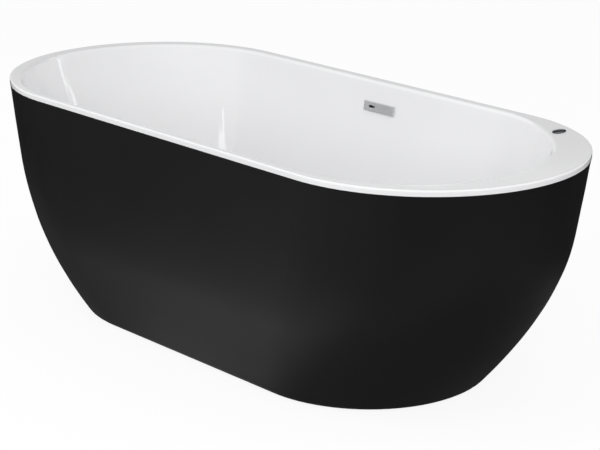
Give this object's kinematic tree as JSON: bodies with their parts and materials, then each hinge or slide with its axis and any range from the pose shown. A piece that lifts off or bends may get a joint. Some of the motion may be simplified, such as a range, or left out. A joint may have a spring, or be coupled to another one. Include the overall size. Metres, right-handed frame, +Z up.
{
  "type": "freestanding bathtub",
  "caption": "Oval double-skin freestanding bathtub: black tapered skirt, white basin with sloped rim, slotted overflow, press-to-open plug, trap and levelling feet.",
  "frame": {"origin": "on the floor, under the middle of the bath", "axes": "+X along the bath towards the wide deck, +Y towards the overflow's wall, +Z up"},
  "size_m": [1.7, 0.765, 0.5844],
  "materials": {
    "white_acrylic": "gloss white sanitary acrylic",
    "black_acrylic": "satin black acrylic",
    "board": "resin-sealed chipboard",
    "steel": "grey powder coat",
    "zinc": "bright zinc plate",
    "chrome": "polished chrome",
    "seal_rubber": "black seal rubber",
    "white_plastic": "white polypropylene",
    "hose_plastic": "pale grey flexible plastic",
    "brass": "plain turned brass",
    "spring_steel": "bare spring wire",
    "black_plastic": "black nylon"
  },
  "bodies": {
    "bath": {"inner_basin": "white_acrylic", "outer_skirt": "black_acrylic", "base_board": "board", "leg_bar_left": "steel", "leg_bar_right": "steel", "board_screws": "zinc", "strap_screws": "zinc", "foot_nuts": "zinc", "lock_nuts": "zinc", "overflow_cover": "chrome", "overflow_gasket": "seal_rubber", "overflow_body": "white_plastic", "overflow_nuts": "zinc", "overflow_hose": "hose_plastic", "hose_clips": "zinc", "waste_flange": "chrome", "waste_gasket_upper": "seal_rubber", "waste_gasket_lower": "seal_rubber", "waste_body": "white_plastic", "trap_seal": "seal_rubber", "trap_cup": "white_plastic", "trap_nut": "white_plastic", "click_cartridge": "brass", "plug_spring": "spring_steel", "rim_badge": "chrome", "skirt_strap_1": "steel", "skirt_strap_2": "steel", "skirt_strap_3": "steel", "skirt_strap_4": "steel"},
    "plug": {"plug_cap": "chrome", "plug_seal": "seal_rubber", "plug_stem": "brass"},
    "pad_1": {"foot_pad_1": "black_plastic"},
    "stem_1": {"foot_stem_1": "zinc"},
    "pad_2": {"foot_pad_2": "black_plastic"},
    "stem_2": {"foot_stem_2": "zinc"},
    "pad_3": {"foot_pad_3": "black_plastic"},
    "stem_3": {"foot_stem_3": "zinc"},
    "pad_4": {"foot_pad_4": "black_plastic"},
    "stem_4": {"foot_stem_4": "zinc"}
  },
  "joints": [
    {"name": "plug_slide", "type": "slide", "parent": "bath", "child": "plug", "axis": [0, 0, 1], "range_m": [0, 0.009], "deforming": ["plug_spring"]},
    {"name": "foot_1_height", "type": "slide", "parent": "bath", "child": "pad_1", "axis": [0, 0, 1], "range_m": [-0.0105, 0.0035]},
    {"name": "foot_1_screw", "type": "hinge", "parent": "pad_1", "child": "stem_1", "pos_m": [-0.37, -0.18192, 0.05], "axis": [0, 0, 1], "range_deg": [-2160, 720]},
    {"name": "foot_2_height", "type": "slide", "parent": "bath", "child": "pad_2", "axis": [0, 0, 1], "range_m": [-0.0105, 0.0035]},
    {"name": "foot_2_screw", "type": "hinge", "parent": "pad_2", "child": "stem_2", "pos_m": [-0.37, 0.18192, 0.05], "axis": [0, 0, 1], "range_deg": [-2160, 720]},
    {"name": "foot_3_height", "type": "slide", "parent": "bath", "child": "pad_3", "axis": [0, 0, 1], "range_m": [-0.0105, 0.0035]},
    {"name": "foot_3_screw", "type": "hinge", "parent": "pad_3", "child": "stem_3", "pos_m": [0.37, -0.18192, 0.05], "axis": [0, 0, 1], "range_deg": [-2160, 720]},
    {"name": "foot_4_height", "type": "slide", "parent": "bath", "child": "pad_4", "axis": [0, 0, 1], "range_m": [-0.0105, 0.0035]},
    {"name": "foot_4_screw", "type": "hinge", "parent": "pad_4", "child": "stem_4", "pos_m": [0.37, 0.18192, 0.05], "axis": [0, 0, 1], "range_deg": [-2160, 720]}
  ],
  "couplings": [
    {"joint": "foot_1_screw", "follows": "foot_1_height", "rad_per_m": 3590.4},
    {"joint": "foot_2_screw", "follows": "foot_2_height", "rad_per_m": 3590.4},
    {"joint": "foot_3_screw", "follows": "foot_3_height", "rad_per_m": 3590.4},
    {"joint": "foot_4_screw", "follows": "foot_4_height", "rad_per_m": 3590.4}
  ]
}
